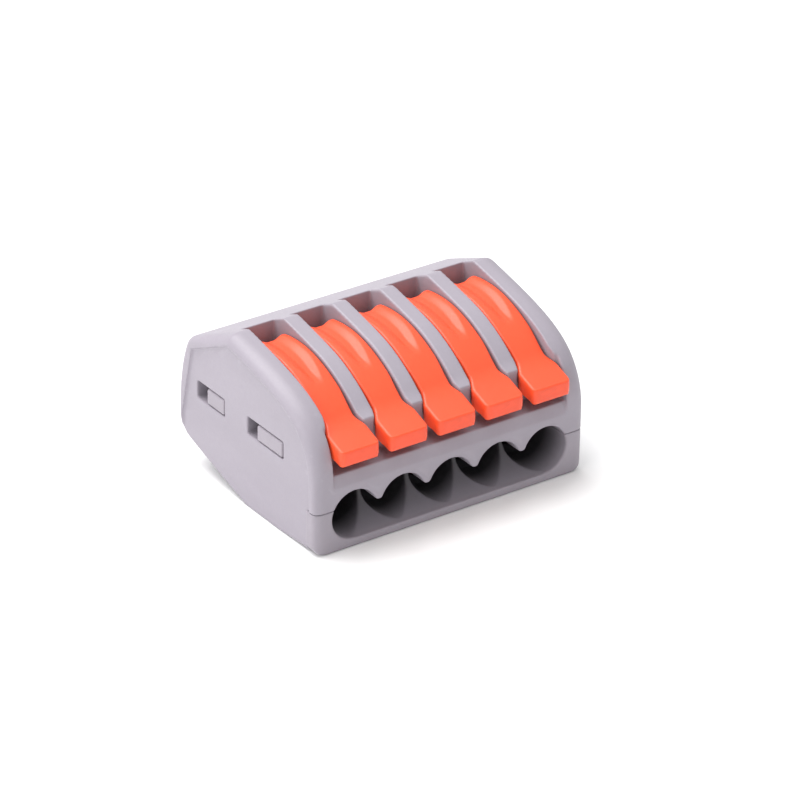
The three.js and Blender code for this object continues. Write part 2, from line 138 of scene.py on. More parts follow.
SLOT_BACK = 4.39
SWING = 3.44
RIB_FRONT = 1.6
RECESS_STEP = 0.12
TRUNNION = 0.9
TRUNNION_HALF = 1.9
BUS_NOTCH = 0.3
WINDOWS = ((-4.8, 0.4), (3.7, 7.85))
WINDOW_LOW = 6.75
WINDOW_HIGH = 8.35
WINDOW_VOID = 1.5
LATCH_X = SIDE - 1.8
LATCH_PLATE = 0.55
NOSE_SUNK = 0.2
NOSE_EASE = 0.12
BEYOND = 2.0  # how far a cut runs past a face
FIT = 0.3  # gap round the base inside the housing
LATCH_FIT = 0.12  # gap round a nose in its window
GUIDE_FIT = 0.15  # gap round a trunnion
GUIDE_END = 0.125  # gap past a trunnion's end
BEAD = 0.38  # rounding of the points between two wire entries
BEAD_LENGTH = 2.9
FRONT_ROUND = 0.2  # rounding round the front of the base
PARTITION_GAP = 0.1  # partitions stand this much over the levers' backs
PARTITION_RISE = 0.64  # and this much more where they reach the rear bridge
PARTITION_BACK = 0.4
HOUSING_TRIANGLES = 190000
BASE_TRIANGLES = 150000


# ---------------------------------------------------------------- outlines
def cubic(a, b, c, d, steps=24):
    """Points of a curve from a to d, without its first point."""
    ends = [Vector((p[0], p[1], 0)) for p in (a, b, c, d)]
    points = interpolate_bezier(ends[0], ends[1], ends[2], ends[3], steps + 1)
    return [(p.x, p.y) for p in points[1:]]


def quadratic(a, b, c, steps=12):
    one = (a[0] + (b[0] - a[0]) * 2 / 3, a[1] + (b[1] - a[1]) * 2 / 3)
    two = (c[0] + (b[0] - c[0]) * 2 / 3, c[1] + (b[1] - c[1]) * 2 / 3)
    return cubic(a, one, two, c, steps)


def line(a, b, steps):
    return [(a[0] + (b[0] - a[0]) * i / steps, a[1] + (b[1] - a[1]) * i / steps)
            for i in range(1, steps + 1)]


def arc(centre, radius, start, end, steps=24):
    return [(centre[0] + radius * cos(start + (end - start) * i / steps),
             centre[1] + radius * sin(start + (end - start) * i / steps)) for i in range(steps + 1)]


def circle(centre, radius, steps=48):
    return arc(centre, radius, 0, tau, steps)[:-1]


def side_outline():
    """Outer outline of the connector seen from the side, as y and z."""
    points = [(FRONT, 0)]
    points += line(points[-1], (RISE_Y, 0), 16)
    points += line(points[-1], HEEL, 4)
    points += quadratic(points[-1], (BACK, HEEL[1] + 0.4), (BACK, HEEL[1] + 2.25))
    points += quadratic(points[-1], (BACK, TOP - 5.9), (BACK - 1.2, SLOPE_END[1] - 0.75))
    points += quadratic(points[-1], (BACK - 1.4, SLOPE_END[1] - 0.25), SLOPE_END, 8)
    points += line(points[-1], (SLOPE_TOP_Y, TOP), 6)
    points += [(CREST_Y, TOP)]
    points += cubic(points[-1], ARC_REAR, ARC_GRIP, ARC_START, 48)
    points += line(points[-1], (FRONT, 2 * RIM), 5)
    return points


def panel_outline():
    """Sunk part of a side face: a rim stays at the back, along the top and at the front."""
    points = [(FRONT + RIM, -BEYOND), (BACK - 0.6 * RIM, -BEYOND), (BACK - 0.6 * RIM, HEEL[1] + 2)]
    points += [(SLOPE_END[0] - 0.2, SLOPE_END[1] - RIM), (SLOPE_TOP_Y, TOP - RIM), (CREST_Y, TOP - RIM)]
    points += cubic(points[-1], (ARC_REAR[0] + 0.3 * RIM, ARC_REAR[1] - RIM),
                    (FRONT + RIM, ARC_GRIP[1] - 0.6 * RIM), (FRONT + RIM, ARC_START[1] - 0.6 * RIM), 32)
    return points


def slot_outline():
    """Room over the bar and under the levers' arms; the bar's face leans back above the crease."""
    high = TOP + BEYOND
    points = [(FRONT - BEYOND, CREASE), (FRONT, CREASE), (FRONT + BAR_LEAN, BAR_TOP)]
    points.append((FRONT + 2.35, BAR_TOP))
    points += cubic(points[-1], (FRONT + 2.75, TOP - 5.2), (PIVOT.y - 4.9, TOP - 3.1),
                    (PIVOT.y - 2.7, PIVOT.z + 0.1), 16)
    points += [(PIVOT.y, PIVOT.z + 0.1), (PIVOT.y, high), (FRONT - BEYOND, high)]
    return points


def plan_half(y, arm, tab):
    """Half width of a lever, or of its slot, at this y."""
    share = min(1, max(0, (y - FLARE_FRONT) / FLARE_LENGTH))
    blend = share * share * (3 - 2 * share)
    return tab + (arm - tab) * blend


def plan_outline(arm, tab, front, back, corner):
    """A lever, or its slot, seen from above, as x and y."""
    stations = [FLARE_FRONT + FLARE_LENGTH * i / 12 for i in range(13)]
    right = [(tab - corner, front)]
    right += quadratic(right[-1], (tab, front), (tab, front + corner), 8)
    right += [(plan_half(y, arm, tab), y) for y in stations]
    right += [(arm, back)]
    return right + [(-x, y) for x, y in reversed(right)]


# ---------------------------------------------------------------- solids
def prism(outline, axis, low, high):
    """An outline swept along one axis: y and z along X, x and z along Y, x and y along Z."""
    mesh = bmesh.new()
    along = "XYZ".index(axis)

    def place(point):
        spot = list(point)
        spot.insert(along, low)
        return spot

    face = mesh.faces.new([mesh.verts.new(place(point)) for point in outline])
    swept = bmesh.ops.extrude_face_region(mesh, geom=[face])["geom"]
    travel = [0, 0, 0]
    travel[along] = high - low
    bmesh.ops.translate(mesh, vec=travel, verts=[v for v in swept if isinstance(v, bmesh.types.BMVert)])
    bmesh.ops.recalc_face_normals(mesh, faces=mesh.faces)
    return mesh


def block(low, high):
    mesh = bmesh.new()
    bmesh.ops.create_cube(mesh, size=1)
    low, high = Vector(low), Vector(high)
    bmesh.ops.scale(mesh, vec=high - low, verts=mesh.verts)
    bmesh.ops.translate(mesh, vec=(low + high) / 2, verts=mesh.verts)
    return mesh


def turned(profile, x, z, steps=72):
    """A round bar along Y from its radius and y at each station."""
    mesh = bmesh.new()
    points = [mesh.verts.new((radius, y, 0)) for radius, y in profile]
    edges = [mesh.edges.new(pair) for pair in zip(points, points[1:])]
    bmesh.ops.spin(mesh, geom=points + edges, cent=(0, 0, 0), axis=(0, 1, 0), dvec=(0, 0, 0),
                   angle=tau, steps=steps, use_merge=True, use_duplicate=False)
    bmesh.ops.remove_doubles(mesh, verts=mesh.verts, dist=1e-4)
    bmesh.ops.recalc_face_normals(mesh, faces=mesh.faces)
    bmesh.ops.translate(mesh, vec=(x, 0, z), verts=mesh.verts)
    return mesh


def work_object(mesh):
    """A temporary object that holds a mesh while it is being cut and joined."""
    data = bpy.data.meshes.new("work")
    mesh.to_mesh(data)
    mesh.free()
    obj = bpy.data.objects.new("work", data)
    bpy.context.scene.collection.objects.link(obj)
    return obj


def discard(obj):
    data = obj.data
    bpy.data.objects.remove(obj)
    bpy.data.meshes.remove(data)


def settle(obj):
    """Applies every modifier of an object to its mesh."""
    graph = bpy.context.evaluated_depsgraph_get()
    done = bpy.data.meshes.new_from_object(obj.evaluated_get(graph))
    before = obj.data
    obj.modifiers.clear()
    obj.data = done
    bpy.data.meshes.remove(before)


def combine(obj, tool, operation):
    tool = tool if isinstance(tool, bpy.types.Object) else work_object(tool)
    step = obj.modifiers.new("combine", "BOOLEAN")
    step.solver = "EXACT"
    step.operation = operation
    step.object = tool
    settle(obj)
    discard(tool)
    return obj


def cut(obj, *tools):
    for tool in tools:
        combine(obj, tool, "DIFFERENCE")
    return obj


def join(obj, *tools):
    for tool in tools:
        combine(obj, tool, "UNION")
    return obj


def repeated(mesh, xs):
    """The mesh set out once at each x, as one mesh."""
    master = mesh.copy()
    bmesh.ops.translate(mesh, vec=(xs[0], 0, 0), verts=mesh.verts)
    for x in xs[1:]:
        data = bpy.data.meshes.new("copy")
        master.to_mesh(data)
        data.transform(Matrix.Translation((x, 0, 0)))
        mesh.from_mesh(data)
        bpy.data.meshes.remove(data)
    master.free()
    return mesh


def mirrored(mesh):
    """The mesh together with its mirror image across the middle."""
    extra = bmesh.ops.duplicate(mesh, geom=mesh.verts[:] + mesh.edges[:] + mesh.faces[:])["geom"]
    verts = [v for v in extra if isinstance(v, bmesh.types.BMVert)]
    faces = [f for f in extra if isinstance(f, bmesh.types.BMFace)]
    bmesh.ops.scale(mesh, vec=(-1, 1, 1), verts=verts)
    bmesh.ops.reverse_faces(mesh, faces=faces)
    return mesh


def skin(obj, step, soften):
    """Gives a cut solid one even skin whose edges are softly rounded, as moulding leaves them."""
    even = obj.modifiers.new("skin", "REMESH")
    even.mode = "VOXEL"
    even.voxel_size = step * 1
    smooth = obj.modifiers.new("soften", "SMOOTH")
    smooth.factor = 0.5
    smooth.iterations = soften
    settle(obj)
    return obj


def thin(obj, most):
    """Leaves at most about this many triangles, mainly where the skin curves."""
    share = most / (2 * len(obj.data.polygons))
    if share < 1:
        obj.modifiers.new("thin", "DECIMATE").ratio = share
        settle(obj)
    return obj


def finish_piece(obj, name, body, node, material):
    """Puts a finished piece in metres, smooths its shading, gives it its finish, ties it to its body when it
    has one and hides the CAD node it stands in for.
    """
    obj.name = name
    obj.data.name = name
    obj.data.transform(Matrix.Scale(MM, 4))
    obj.data.polygons.foreach_set("use_smooth", [True] * len(obj.data.polygons))
    obj.data.materials.clear()
    obj.data.materials.append(material)
    if body:
        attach(obj, body)
    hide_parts(node)
    return obj


def smoothstep(low, high, value):
    """Goes smoothly from 0 at low to 1 at high; low may be the larger of the two."""
    share = min(1, max(0, (value - low) / (high - low)))
    return share * share * (3 - 2 * share)


# ---------------------------------------------------------------- shell pieces
def rounding(y, z):
    """Height of the rounding of a side face's outer edge at this place."""
    if z < HEEL[1] and y < HEEL[0]:
        if y < FRONT + 0.01 and z > 0.3:
            return 0.5
        return 0.25 + 0.75 * smoothstep(-3, FRONT, y) if y < RISE_Y else 0.25
    if y > SLOPE_TOP_Y:
        return 0.5 + 0.5 * smoothstep(7.6, 4, y)
    return 0.5 + 0.5 * smoothstep(6, 10.5, z)


def rounded_body():
    """Outer body with the rounded edges of its side faces, before anything is cut."""
    mesh = prism(side_outline(), "X", -SIDE / STRETCH, SIDE / STRETCH)
    weights = mesh.edges.layers.float.new("bevel_weight_edge")
    for edge in mesh.edges:
        one, two = (v.co for v in edge.verts)
        if abs(one.x - two.x) < 1e-3:
            middle = (one + two) / 2
            edge[weights] = rounding(middle.y, middle.z)
    obj = work_object(mesh)
    bevel = obj.modifiers.new("round", "BEVEL")
    bevel.limit_method = "WEIGHT"
    bevel.width = 1
    bevel.segments = 8
    bevel.use_clamp_overlap = False
    settle(obj)
    obj.data.transform(Matrix.Diagonal((STRETCH, 1, 1, 1)))
    return obj


def wire_entry(mouth):
    """Cutter for one entry: a rounded mouth, a straight bore, a funnel and a guide."""
    steps = 5
    lip = [(BORE + mouth * (1 - sin(i / steps * pi / 2)), FRONT + mouth * (1 - cos(i / steps * pi / 2)))
           for i in range(steps + 1)]
    profile = [(0, FRONT - BEYOND), (BORE + mouth, FRONT - BEYOND)] + lip
    profile += [(BORE, FUNNEL_Y), (GUIDE, CHAMBER_FRONT), (GUIDE, CHAMBER_FRONT + BEYOND)]
    profile += [(0, CHAMBER_FRONT + BEYOND)]
    return turned(profile, 0, BORE_Z)


def lever_slots():
    """One slot for each lever; at the front they join, from one side wall to the other."""
    wide = SIDE + BEYOND
    slots = work_object(prism(slot_outline(), "X", -wide, wide))
    join(slots, prism(circle((PIVOT.y, PIVOT.z), SWING, 96), "X", -wide, wide),
         block((-wide, PIVOT.y, PIVOT.z), (wide, SLOT_BACK, TOP + BEYOND)))
    half = POLE_X[-1] + TAB_SLOT / 2 + RECESS_STEP
    high = TOP + 2 * BEYOND
    plans = work_object(block((-half, FRONT - 3 * BEYOND, 0), (half, FRONT + RIB_FRONT, high)))
    plan = plan_outline(ARM_SLOT / 2, TAB_SLOT / 2, FRONT - 2 * BEYOND, SLOT_BACK + BEYOND, 0.5)
    for x in POLE_X:
        join(plans, prism([(x + across, y) for across, y in plan], "Z", 0, high))
    return combine(slots, plans, "INTERSECT")


def floor_outline(margin):
    end = CHAMBER_BACK - 0.3 + margin
    rise = HEEL[1] / (HEEL[0] - RISE_Y)
    return [(FRONT - BEYOND, -BEYOND), (end, -BEYOND), (end, FLOOR + margin + rise * (end - RISE_Y)),
            (RISE_Y, FLOOR + margin), (FRONT - BEYOND, FLOOR + margin)]


def front_plan(reach):
    """Plan of the room for the front of the base, which is as wide as the housing at the very front."""
    wide = SIDE + 1
    near = FRONT + CORNER_DEPTH
    right = [(wide, FRONT - BEYOND), (wide, near), (reach, near), (reach, CHAMBER_FRONT + 0.05)]
    return right + [(-x, y) for x, y in reversed(right)]


def partition_room():
    """Room over the walls between the slots, which end level with the levers' backs."""
    floor = [(y, z + PARTITION_GAP + PARTITION_RISE * smoothstep(-2.5, PARTITION_BACK, y))
             for y, z in crest_points(12) if y < PARTITION_BACK]
    near = FRONT - BEYOND
    return floor + [(PARTITION_BACK, TOP + BEYOND), (near, TOP + BEYOND), (near, floor[0][1])]


def housing_shape(sizes):
    body = rounded_body()
    cusps = [(a + b) / 2 for a, b in zip(POLE_X, POLE_X[1:])]
    reach = BASE_HALF + 0.1
    guide_half = TRUNNION_HALF + GUIDE_END
    guide_round = TRUNNION + GUIDE_FIT
    guide = prism(circle((PIVOT.y, PIVOT.z), guide_round, 32), "X", -guide_half, guide_half)
    guide_floor = block((-guide_half, PIVOT.y - guide_round, CEILING - 0.1),
                        (guide_half, PIVOT.y + guide_round, PIVOT.z))
    chamber = block((-CHAMBER_HALF, CHAMBER_FRONT, -BEYOND), (CHAMBER_HALF, CHAMBER_BACK, CEILING))
    cut(body, lever_slots(), repeated(guide, POLE_X), repeated(guide_floor, POLE_X),
        repeated(chamber, POLE_X))
    cut(body, block((BUS_LOW.x - BUS_NOTCH, -0.1, -BEYOND), (BUS_HIGH.x + BUS_NOTCH, 3.5, 6.3)),
        prism(floor_outline(FIT), "X", -reach, reach), prism(front_plan(reach), "Z", -BEYOND, PARTING))
    half = POLE_X[-1] + ARM_SLOT / 4
    cut(body, prism(partition_room(), "X", -half, half))
    bead = prism(circle((0, PARTING + 0.13), BEAD, 32), "Y", FRONT, FRONT + BEAD_LENGTH)
    join(body, repeated(bead, cusps))
    cut(body, repeated(wire_entry(sizes.mouth_round / MM), POLE_X))
    inner = LATCH_X - FIT
    for front, back in WINDOWS:
        window = block((inner, front, WINDOW_LOW), (SIDE + BEYOND, back, WINDOW_HIGH))
        channel = block((inner, front, -BEYOND),
                        (LATCH_X + LATCH_PLATE + FIT, back - WINDOW_VOID + FIT, WINDOW_HIGH - 0.1))
        cut(body, mirrored(window), mirrored(channel))
    cut(body, mirrored(prism(panel_outline(), "X", SIDE - PANEL_DEPTH, SIDE + BEYOND)))
    return body


def rounded_front():
    """Front view of the base with its large lower corners, its front edge rounded all round."""
    side = SIDE + 0.02
    points = [(-side, TOP), (-side, CORNER_HIGH)]
    points += quadratic(points[-1], (-side, 0), (CORNER_WIDE - side, 0), 16)
    right = [(-x, z) for x, z in reversed(points)]
    mesh = prism(points + right, "Y", FRONT, BACK + 1)
    rim = [e for e in mesh.edges if all(abs(v.co.y - FRONT) < 1e-3 for v in e.verts)]
    bmesh.ops.bevel(mesh, geom=rim, offset=FRONT_ROUND, offset_type="OFFSET", segments=6,
                    profile=0.5, affect="EDGES", material=-1, clamp_overlap=False)
    return mesh


def latch(front, back):
    """Snap-in tab of the base: a plate that ends in a nose filling most of its window."""
    gap = LATCH_FIT
    nose = SIDE - NOSE_SUNK
    top = WINDOW_HIGH - gap
    outline = [(LATCH_X, FLOOR / 2), (LATCH_X + LATCH_PLATE, FLOOR / 2),
               (LATCH_X + LATCH_PLATE, WINDOW_LOW + gap), (nose, WINDOW_LOW + gap),
               (nose, top - NOSE_EASE), (nose - NOSE_EASE, top), (LATCH_X, top)]
    return prism(outline, "Y", front + gap, back - WINDOW_VOID)


def base_shape(sizes):
    gap = sizes.seam / MM
    top = PARTING - gap
    body = work_object(prism(floor_outline(0), "X", -BASE_HALF, BASE_HALF))
    join(body, block((-BASE_HALF, FRONT - 1, -1), (BASE_HALF, CHAMBER_FRONT - 0.3, top)),
         block((-SIDE - 1, FRONT - 1, -1), (SIDE + 1, FRONT + CORNER_DEPTH - gap, top)))
    combine(body, rounded_front(), "INTERSECT")
    for front, back in WINDOWS:
        join(body, mirrored(latch(front, back)))
    combine(body, rounded_body(), "INTERSECT")
    half = (PITCH - 2 * CHAMBER_HALF) / 2
    walls = [(a + b) / 2 for a, b in zip(POLE_X, POLE_X[1:])]
    join(body, repeated(block((-half, 0.2, FLOOR - 0.1), (half, 3.2, 5.0)), walls))
    scoop = prism(circle((FRONT, PARTING), SCOOP, 96), "X", POLE_X[0], POLE_X[-1])
    cut(body, repeated(wire_entry(sizes.mouth_round / MM), POLE_X), scoop)
    return body


# ---------------------------------------------------------------- lever
TAB_BOTTOM = LEVER_LOW.z
TAB_RISE = 0.6
TAB_CORNER = 0.6
TAB_CREST = (TAB_FRONT + 0.2, 9.4)
TAB_END = (FRONT + 2.65, 10.8)
LEVER_TOP = (PIVOT.y - 0.6, 13.72)
LEVER_REAR = (2.55, 13.5)
HUB = 1.55
SWEEP_CENTRE = (0.0, 2.4)  # the lever's back is close to an arc round this y and z
LEVER_TURN = pi / 2
SPRING_TURN = radians(12.5)
CAM_GAP = 0.25
WAIST = 0.13
BACK_BOW = 0.04  # how much a lever's back is bowed across
BACK_DEPTH = 1.2  # shaping of the back fades out this deep under it
TAB_NARROW = 0.035  # the tab's lower lip is narrower by this share
LEVER_TRIANGLES = 46000


def crest_points(steps):
    """Back of the lever, from the crest of its tab to its rear end."""
    points = [TAB_CREST]
    points += cubic(TAB_CREST, (TAB_FRONT + 1.3, 9.8), (TAB_END[0] - 0.9, TAB_END[1] - 0.7), TAB_END, steps)
    points += cubic(TAB_END, (TAB_END[0] + 1.4, TAB_END[1] + 1.15), (PIVOT.y - 3.6, LEVER_TOP[1]),
                    LEVER_TOP, 2 * steps)
    points += quadratic(LEVER_TOP, (LEVER_REAR[0] - 0.9, LEVER_TOP[1]), LEVER_REAR, steps)
    return points


def cam_outline():
    """Cam face that keeps an even gap to the spring while the lever turns."""
    steps = 16
    turn = (LEVER_TURN + SPRING_TURN) / LEVER_TURN
    arm = BEND.y - PIVOT.y
    rise = PIVOT.z - BEND.z

    def reach(lever):
        bend = lever * SPRING_TURN / LEVER_TURN
        return arm * sin(bend) + rise * cos(bend) - (SEAT_HIGH.z - SEAT_LOW.z) / 2 - CAM_GAP

    points = []
    for i in range(steps + 1):
        lever = LEVER_TURN * i / steps
        facing = -pi / 2 + turn * lever
        slide = (reach(lever + 1e-4) - reach(lever)) / (1e-4 * turn)
        points.append((PIVOT.y + reach(lever) * cos(facing) - slide * sin(facing),
                       PIVOT.z + reach(lever) * sin(facing) + slide * cos(facing)))
    return points


def lever_outline():
    hub_front = radians(160)
    points = [(FRONT + 1.9, TAB_BOTTOM + TAB_RISE), (TAB_FRONT + 0.3, TAB_BOTTOM)]
    points += quadratic(points[-1], (TAB_FRONT, TAB_BOTTOM), (TAB_FRONT, TAB_BOTTOM + 0.3), 6)
    points += [(TAB_FRONT, TAB_CREST[1] - 0.2)]
    points += quadratic(points[-1], (TAB_FRONT, TAB_CREST[1]), TAB_CREST, 6)
    points += crest_points(12)[1:]
    points += list(reversed(cam_outline()))
    hub = arc((PIVOT.y, PIVOT.z), HUB, -pi / 2, hub_front - tau, 28)
    points += hub[1:]
    points += cubic(points[-1], (PIVOT.y - 5.1, TOP - 2.6), (FRONT + 2.45, TOP - 4.6),
                    (FRONT + 1.9, TAB_BOTTOM + TAB_RISE), 20)[:-1]
    return points


def lever_half(y, sizes):
    arm = sizes.lever_width / MM / 2
    waist = WAIST * smoothstep(-5.0, -6.9, y)
    return plan_half(y, arm - waist, LEVER_HIGH.x - POLE_X[0])


def lever_blank(sizes):
    tab = LEVER_HIGH.x - POLE_X[0]
    stations = [FLARE_FRONT + 0.25 * i for i in range(28)]
    right = [(tab - TAB_CORNER, TAB_FRONT)]
    right += quadratic(right[-1], (tab, TAB_FRONT), (tab, TAB_FRONT + TAB_CORNER), 8)
    right += [(lever_half(y, sizes), y) for y in stations]
    right += [(sizes.lever_width / MM / 2, BACK)]
    plan = right + [(-x, y) for x, y in reversed(right)]
    lever = work_object(prism(lever_outline(), "X", -tab, tab))
    combine(lever, prism(plan, "Z", 0, TOP + BEYOND), "INTERSECT")
    return join(lever, prism(circle((PIVOT.y, PIVOT.z), TRUNNION), "X", -TRUNNION_HALF, TRUNNION_HALF))


def crest_table():
    """Distance of the lever's back from the sweep centre at each angle round it."""
    offsets = [(y - SWEEP_CENTRE[0], z - SWEEP_CENTRE[1]) for y, z in crest_points(24)]
    return sorted((atan2(up, along), hypot(along, up)) for along, up in offsets)


def looked_up(table, angles, angle):
    at = min(max(bisect_right(angles, angle), 1), len(table) - 1)
    (a0, r0), (a1, r1) = table[at - 1], table[at]
    share = min(1, max(0, (angle - a0) / (a1 - a0)))
    return r0 + (r1 - r0) * share


def lever_shape(sizes):
    """One lever at x = 0: arm, tab, hub, cam and trunnions, then the points of its back are moved one by
    one.
    """
    lever = skin(lever_blank(sizes), sizes.lever_skin / MM, 3)
    table = crest_table()
    angles = [a for a, r in table]
    groove_half = sizes.groove_width / MM / 2
    depth_most = sizes.groove_depth / MM
    edge = sizes.lever_edge / MM
    for vertex in lever.data.vertices:
        x, y, z = vertex.co
        out = Vector((0, y - SWEEP_CENTRE[0], z - SWEEP_CENTRE[1]))
        angle = atan2(out.z, out.y)
        depth = looked_up(table, angles, angle) - out.length
        if depth > BACK_DEPTH or z < TAB_BOTTOM + 0.8:
            continue
        half = lever_half(y, sizes)
        beside = max(0, abs(x) - (half - edge))
        drop = edge - sqrt(max(0, edge * edge - min(beside, edge) ** 2))
        drop += BACK_BOW * (x / half) ** 2
        front_fade = smoothstep(TAB_BOTTOM + 0.8, TAB_BOTTOM + 1.4, z)
        groove = groove_half * (1 - 0.45 * smoothstep(-1.0, -4.6, y))
        across = 1 - smoothstep(0.2 * groove, groove, abs(x))
        drop += depth_most * across * (1 - smoothstep(-2.6, -4.8, y))
        fade = 1 - smoothstep(0, BACK_DEPTH, depth)
        out.normalize()
        vertex.co -= out * drop * front_fade * fade
    for vertex in lever.data.vertices:
        low = 1 - smoothstep(TAB_BOTTOM + 0.22, TAB_BOTTOM + 0.3, vertex.co.z)
        if low and vertex.co.y < FRONT + 2.2:
            vertex.co.x *= 1 - TAB_NARROW * low
    return thin(lever, LEVER_TRIANGLES)


# ---------------------------------------------------------------- contacts
STRIP = 0.4
STRIP_EASE = 0.05
BUTT_Y = 6.2  # where a spring's bend and its cage meet
CAGE_ROUND = 0.7
CAGE_RAIL = 0.3
CAGE_BAR = 0.9
TONGUE_HALF = 1.05
TONGUE_ROOT = 0.2
BUS_EASE = 0.07


def strip_solid(outline, half):
    """A bent strip of sheet, its long edges eased as stamping leaves them."""
    mesh = prism(outline, "X", -half, half)
    rim = [e for e in mesh.edges if abs(e.verts[0].co.x - e.verts[1].co.x) < 1e-4]
    bmesh.ops.bevel(mesh, geom=rim, offset=STRIP_EASE, offset_type="OFFSET", segments=2, profile=0.5,
                    affect="EDGES", material=-1, clamp_overlap=True)
    return mesh


def spring_seat_outline():
    radius = (SEAT_HIGH.z - SEAT_LOW.z) / 2
    points = [(SEAT_LOW.y, SEAT_LOW.z)]
    points += line(points[-1], (BEND.y, SEAT_LOW.z), 6)
    points += arc((BEND.y, BEND.z), radius, -pi / 2, pi / 2, 28)[1:]
    points += line(points[-1], (BUTT_Y, SEAT_HIGH.z), 2)
    points += [(BUTT_Y, SEAT_HIGH.z - STRIP)]
    points += line(points[-1], (BEND.y, SEAT_HIGH.z - STRIP), 2)
    points += arc((BEND.y, BEND.z), radius - STRIP, pi / 2, -pi / 2, 28)[1:]
    points += line(points[-1], (SEAT_LOW.y, SEAT_LOW.z + STRIP), 6)
    return points


def spring_cage_shape():
    front = CAGE_LOW.y
    top = CAGE_HIGH.z
    bottom = CAGE_LOW.z
    points = [(BUTT_Y, top), (front + CAGE_ROUND, top)]
    points += quadratic(points[-1], (front, top), (front, top - CAGE_ROUND), 8)
    points += [(front, bottom), (front + STRIP, bottom), (front + STRIP, top - CAGE_ROUND)]
    points += quadratic(points[-1], (front + STRIP, top - STRIP), (front + CAGE_ROUND, top - STRIP), 6)
    points += [(BUTT_Y, top - STRIP)]
    half = (CAGE_HIGH.x - CAGE_LOW.x) / 2
    cage = work_object(strip_solid(points, half))
    window_half = half - CAGE_RAIL
    sill = bottom + CAGE_BAR
    head = top - CAGE_ROUND - 0.2
    outline = [(-window_half, sill), (window_half, sill), (window_half, head), (-window_half, head)]
    mesh = prism(outline, "Y", front - 1, front + 1)
    upright = [e for e in mesh.edges if abs(e.verts[0].co.y - e.verts[1].co.y) > 0.5]
    bmesh.ops.bevel(mesh, geom=upright, offset=0.3, offset_type="OFFSET", segments=4, profile=0.5,
                    affect="EDGES", material=-1, clamp_overlap=True)
    return cut(cage, mesh)


def busbar_shape():
    """Plate with one tongue for each pole, seen from above, its edges eased all round."""
    front = BUS_LOW.y
    points = [(BUS_LOW.x, TONGUE_ROOT)]
    for x in POLE_X:
        points += [(x - TONGUE_HALF, TONGUE_ROOT), (x - TONGUE_HALF, front), (x + TONGUE_HALF, front),
                   (x + TONGUE_HALF, TONGUE_ROOT)]
    points += [(BUS_HIGH.x, TONGUE_ROOT), (BUS_HIGH.x, BUS_HIGH.y), (BUS_LOW.x, BUS_HIGH.y)]
    mesh = prism(points, "Z", BUS_LOW.z, BUS_HIGH.z)
    bmesh.ops.bevel(mesh, geom=mesh.edges[:], offset=BUS_EASE, offset_type="OFFSET", segments=3, profile=0.5,
                    affect="EDGES", material=-1, clamp_overlap=True)
    return work_object(mesh)


# ---------------------------------------------------------------- finishes
SCATTER_SCALE = 0.0006  # metres
PLASTIC_IOR = 1.5
BORE_SHADE = 0.1


class Nodes:
    """Short way to lay out a material's nodes."""

    def __init__(self, name):
        self.material = bpy.data.materials.new(name)
        self.material.use_nodes = True
        self.tree = self.material.node_tree
        self.tree.nodes.clear()
        self.output = self.add("ShaderNodeOutputMaterial")
        self.shader = self.add("ShaderNodeBsdfPrincipled")
        self.link(self.shader, "BSDF", self.output, "Surface")
        self.place = self.add("ShaderNodeTexCoord")

    def add(self, kind, **inputs):
        node = self.tree.nodes.new(kind)
        for name, value in inputs.items():
            node.inputs[name.replace("_", " ")].default_value = value
        return node

    def link(self, source, output, target, socket):
        self.tree.links.new(source.outputs[output], target.inputs[socket])

    def noise(self, size_mm, detail=3.0, stretch=None):
        """Noise whose features are about this size."""
        node = self.add("ShaderNodeTexNoise", Scale=1 / (size_mm * MM), Detail=detail)
        if stretch:
            mapping = self.add("ShaderNodeMapping")
            mapping.inputs["Scale"].default_value = stretch
            self.link(self.place, "Object", mapping, "Vector")
            self.link(mapping, "Vector", node, "Vector")
        else:
            self.link(self.place, "Object", node, "Vector")
        return node

    def ranged(self, source, output, low, high, to_low, to_high):
        node = self.add("ShaderNodeMapRange", From_Min=low, From_Max=high, To_Min=to_low, To_Max=to_high)
        self.link(source, output, node, "Value")
        return node

    def mixed(self, factor, output, one, two):
        """Colour that goes from one to two; each is a colour or a node with a Color output."""
        node = self.add("ShaderNodeMixRGB")
        self.link(factor, output, node, "Fac")
        for socket, value in (("Color1", one), ("Color2", two)):
            if isinstance(value, bpy.types.Node):
                self.link(value, "Color", node, socket)
            else:
                node.inputs[socket].default_value = value
        return node

    def bump(self, source, output, height_mm, under=None):
        node = self.add("ShaderNodeBump", Strength=1.0, Distance=height_mm * MM)
        self.link(source, output, node, "Height")
        if under:
            self.link(under, "Normal", node, "Normal")
        return node


def shade(colour, factor):
    return (colour[0] * factor, colour[1] * factor, colour[2] * factor, 1)


def painted_bore_shade_mask(nodes):
    """Mask of the painted shade in the wire entries: 0 at their mouths, 1 deep in them, and 0 outside them.
    """
    parts = nodes.add("ShaderNodeSeparateXYZ")
    nodes.link(nodes.place, "Object", parts, "Vector")
    across = nodes.add("ShaderNodeMath")
    across.operation = "ABSOLUTE"
    nodes.link(parts, "X", across, 0)
    total = nodes.ranged(parts, "Y", (FRONT + 0.5) * MM, (FRONT + 3.2) * MM, 0, 1)
    output = "Result"
    limits = ((across, "Value", SIDE - 1.3, SIDE - 1.45), (parts, "Y", 0.6, 0.0),
              (parts, "Z", 5.6, 5.3), (parts, "Z", 0.55, 0.7))
    for source, socket, none, full in limits:
        share = nodes.ranged(source, socket, none * MM, full * MM, 0, 1)
        product = nodes.add("ShaderNodeMath")
        product.operation = "MULTIPLY"
        nodes.link(total, output, product, 0)
        nodes.link(share, "Result", product, 1)
        total = product
        output = "Value"
    return total


